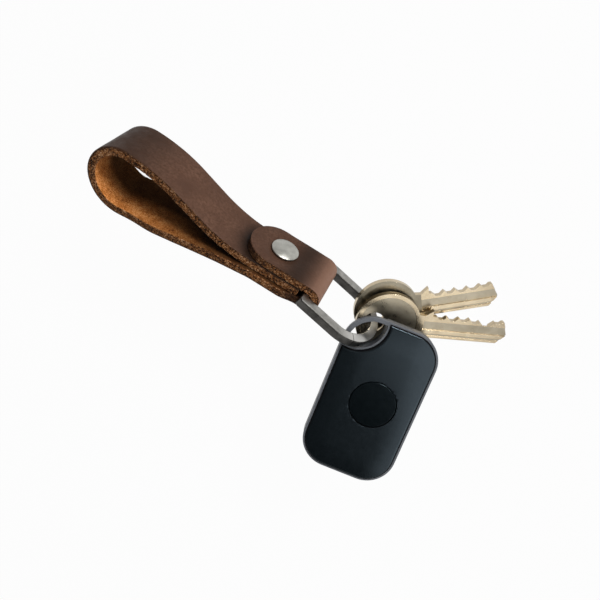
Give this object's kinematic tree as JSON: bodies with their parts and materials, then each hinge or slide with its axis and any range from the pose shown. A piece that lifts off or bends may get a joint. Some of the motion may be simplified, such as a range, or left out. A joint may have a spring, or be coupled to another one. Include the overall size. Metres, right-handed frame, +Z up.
{
  "type": "tracker tag holder",
  "caption": "Riveted leather key loop whose D-ring carries a corner-hole tracker tag with a push button and sliding battery door, and flat door keys.",
  "frame": {"origin": "middle of the bottom of the whole part, on the surface that it lies on", "axes": "+Z up from that surface, +X from the loop's tip along the strap towards the ring, +Y across the strap"},
  "size_m": [0.1532, 0.0874, 0.0309],
  "materials": {
    "leather": "smooth dark brown grain with raw edges",
    "rivet_nickel": "satin nickel",
    "ring_steel": "antique nickel",
    "tag_rim": "satin grey",
    "tag_front": "satin dark blue-grey",
    "tag_back": "fine matt",
    "button": "glossy near black",
    "board": "solder mask",
    "chip": "moulded",
    "ceramic": "fired ceramic",
    "capacitor": "fired ceramic",
    "contact_steel": "plated",
    "cell_steel": "bright nickel",
    "sounder_brass": "rolled",
    "gasket": "soft",
    "key_nickel": "worn warm nickel plate"
  },
  "bodies": {
    "strap": {"leather_strap": "leather", "rivet_cap": "rivet_nickel", "rivet_post": "rivet_nickel"},
    "ring": {"d_ring": "ring_steel"},
    "tag": {"tag_frame": "tag_rim", "front_cover": "tag_front", "back_shell": "tag_back", "dome_switch": "contact_steel", "circuit_board": "board", "board_screws": "contact_steel", "radio_chip": "chip", "crystal": "contact_steel", "antenna": "ceramic", "capacitors": "capacitor", "sounder_plate": "sounder_brass", "sounder_disc": "ceramic", "coin_cell": "cell_steel", "leaf_contact": "contact_steel", "side_contact": "contact_steel", "door_gasket": "gasket"},
    "button": {"button_cap": "button"},
    "door": {"battery_door": "tag_back"},
    "front_key": {"key_front": "key_nickel"},
    "rear_key": {"key_rear": "key_nickel"}
  },
  "joints": [
    {"name": "ring_swing", "type": "hinge", "parent": "strap", "child": "ring", "pos_m": [0.00769, 0.0101, 0.01561], "axis": [0, 0.6717, -0.7408], "range_deg": [-90, 75]},
    {"name": "tag_turn", "type": "hinge", "parent": "ring", "child": "tag", "pos_m": [0.03278, 0.00405, 0.01366], "axis": [0.2192, 0.617, -0.7558], "range_deg": [-30, 40]},
    {"name": "button_press", "type": "slide", "parent": "tag", "child": "button", "axis": [-0.0344, 0.1877, -0.9816], "range_m": [0, 0.0003], "stiffness_N_per_m": 3000},
    {"name": "door_slide", "type": "slide", "parent": "tag", "child": "door", "axis": [0.1772, -0.9655, -0.1908], "range_m": [0, 0.03]},
    {"name": "front_key_swing", "type": "hinge", "parent": "ring", "child": "front_key", "pos_m": [0.03263, 0.00975, 0.00799], "axis": [0.2857, -0.3528, 0.891], "range_deg": [-35, 35]},
    {"name": "rear_key_swing", "type": "hinge", "parent": "ring", "child": "rear_key", "pos_m": [0.03049, 0.01227, 0.00619], "axis": [0.2857, -0.3528, 0.891], "range_deg": [-35, 35]}
  ]
}
